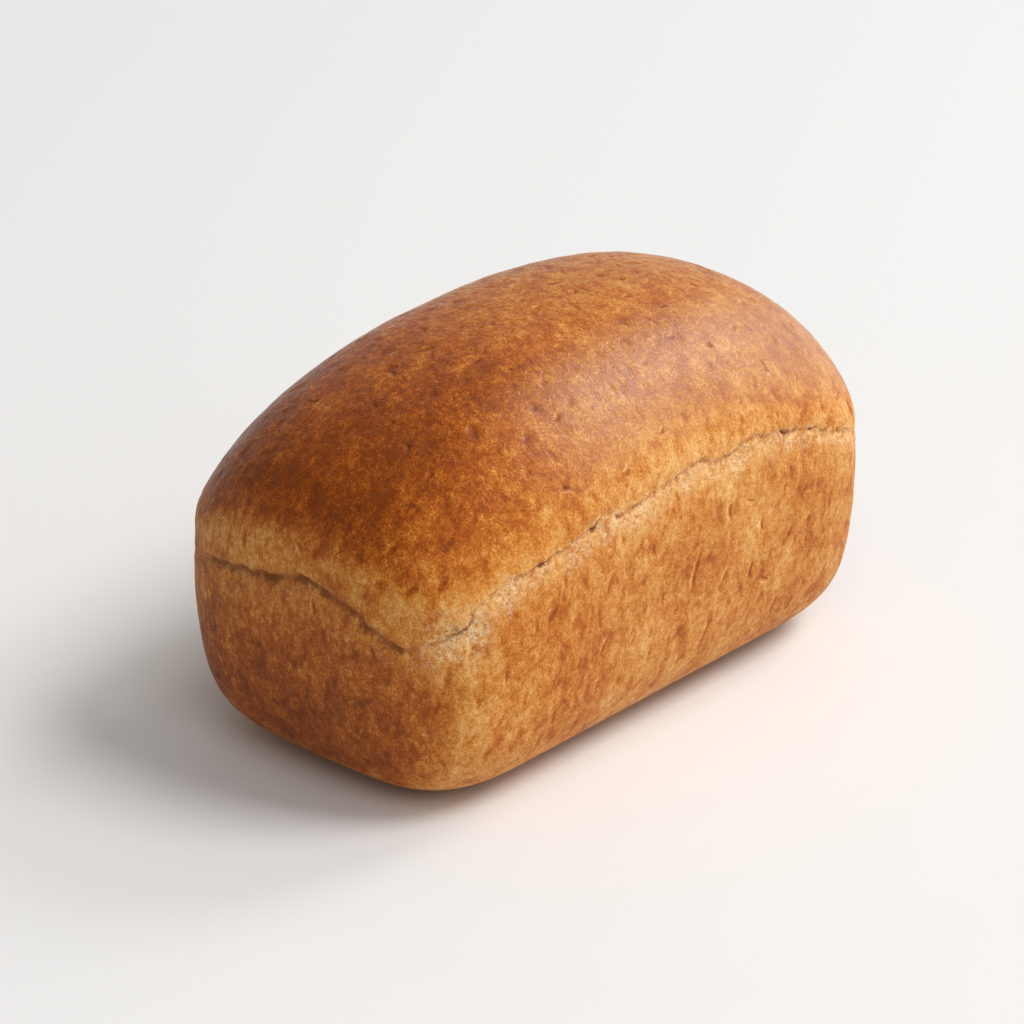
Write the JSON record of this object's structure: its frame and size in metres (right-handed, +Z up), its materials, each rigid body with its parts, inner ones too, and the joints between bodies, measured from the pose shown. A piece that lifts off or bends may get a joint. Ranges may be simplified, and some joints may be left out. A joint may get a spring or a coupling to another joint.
{
  "type": "tin loaf",
  "caption": "Small bread loaf baked in a tin: straight rounded sides, a domed crown, and a torn seam where the dome left the rim",
  "frame": {"origin": "middle of the flat base, on the surface the loaf stands on", "axes": "length along X, width along Y, +Z up through the dome"},
  "size_m": [0.1798, 0.1024, 0.1042],
  "materials": {
    "crust": null
  },
  "bodies": {
    "root": {"loaf": "crust"}
  },
  "joints": []
}
